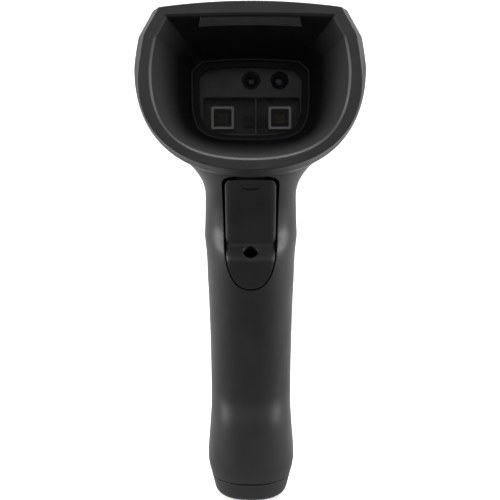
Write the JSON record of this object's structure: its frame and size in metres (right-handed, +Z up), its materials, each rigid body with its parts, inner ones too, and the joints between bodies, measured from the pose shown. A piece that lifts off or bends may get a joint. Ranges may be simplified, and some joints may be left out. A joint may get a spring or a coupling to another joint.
{
  "type": "handheld barcode scanner",
  "caption": "Cordless handheld barcode scanner: deep hooded reading head on a pistol grip with a long trigger and a battery that slides out of the grip.",
  "frame": {"origin": "centre of the grip's flat base, on the grip's axis", "axes": "+Z up; the scanner looks along -Y; +X to the right as seen from in front of the hood; the grip leans 10 degrees forward"},
  "size_m": [0.0662, 0.084, 0.152],
  "materials": {
    "shell_plastic": "satin, fine spark-eroded grain",
    "hood_plastic": "satin outside, matte in the funnel",
    "trigger_plastic": "satin",
    "cap_plastic": "satin",
    "seal_rubber": "matte",
    "window_clear": "hard-coated clear acrylic",
    "bezel_grey": "matte dark grey",
    "lamp_frame_grey": "light grey",
    "lamp_lens": "smoked clear",
    "led_chip": "gloss",
    "board_mask": "solder mask",
    "chip_black": "moulded package",
    "barrel_black": "black anodised",
    "lens_glass": "coated",
    "engine_metal": "black zinc casting",
    "chassis_plastic": "matte",
    "flex_amber": "polyimide",
    "connector_white": "matte",
    "shield_can": "tinned",
    "screw_steel": "black-passivated",
    "pin_steel": "ground",
    "spring_steel": "spring wire",
    "contact_gold": "gold-plated",
    "insert_brass": "knurled",
    "cell_wrap": "can in a blue shrink sleeve",
    "carrier_plastic": "matte",
    "indicator_smoke": "smoked translucent"
  },
  "bodies": {
    "housing": {"hood": "hood_plastic", "front_shell": "shell_plastic", "rear_shell": "shell_plastic", "shell_screws": "screw_steel", "window_gasket": "seal_rubber", "scan_window": "window_clear", "optics_bezel": "bezel_grey", "led_bezels": "lamp_frame_grey", "led_lenses": "lamp_lens", "illumination_leds": "led_chip", "illumination_board": "board_mask", "proximity_sensor": "chip_black", "aimer_barrel": "barrel_black", "aimer_lens": "lens_glass", "imager_barrel": "barrel_black", "imager_lens": "lens_glass", "engine_housing": "engine_metal", "image_sensor_board": "board_mask", "engine_flex": "flex_amber", "flex_connectors": "connector_white", "optical_chassis": "chassis_plastic", "chassis_screws": "screw_steel", "indicator_lens": "indicator_smoke", "indicator_board": "board_mask", "indicator_leds": "led_chip", "main_board": "board_mask", "board_screws": "screw_steel", "radio_module": "shield_can", "processor": "chip_black", "sounder": "chip_black", "trigger_switch": "chip_black", "trigger_pin": "pin_steel", "trigger_spring": "spring_steel", "lock_insert": "insert_brass", "contact_block": "chassis_plastic", "contact_pins": "contact_gold"},
    "trigger": {"trigger": "trigger_plastic"},
    "switch_plunger": {"switch_plunger": "trigger_plastic"},
    "battery": {"battery_end_cap": "cap_plastic", "cap_seal": "seal_rubber", "charging_contacts": "contact_gold", "battery_carrier": "carrier_plastic", "battery_cell": "cell_wrap"},
    "cap_lock": {"cap_screw": "screw_steel"}
  },
  "joints": [
    {"name": "trigger_pull", "type": "hinge", "parent": "housing", "child": "trigger", "pos_m": [0, -0.02263, 0.0742], "axis": [-1, 0, 0], "range_deg": [0, 4.2], "stiffness_Nm_per_rad": 0.35, "springref_deg": -6.88, "deforming": ["trigger_spring"]},
    {"name": "switch_travel", "type": "slide", "parent": "housing", "child": "switch_plunger", "axis": [0, 0.9848, 0.1736], "range_m": [0, 0.00135]},
    {"name": "battery_slide", "type": "slide", "parent": "housing", "child": "battery", "axis": [0, 0.1736, -0.9848], "range_m": [0, 0.08]},
    {"name": "cap_lock_turn", "type": "hinge", "parent": "battery", "child": "cap_lock", "pos_m": [0, -0.00782, -0.00118], "axis": [0, 0.1736, -0.9848], "range_deg": [0, 1440]}
  ],
  "couplings": [
    {"joint": "switch_travel", "follows": "trigger_pull", "m_per_rad": 0.018}
  ]
}
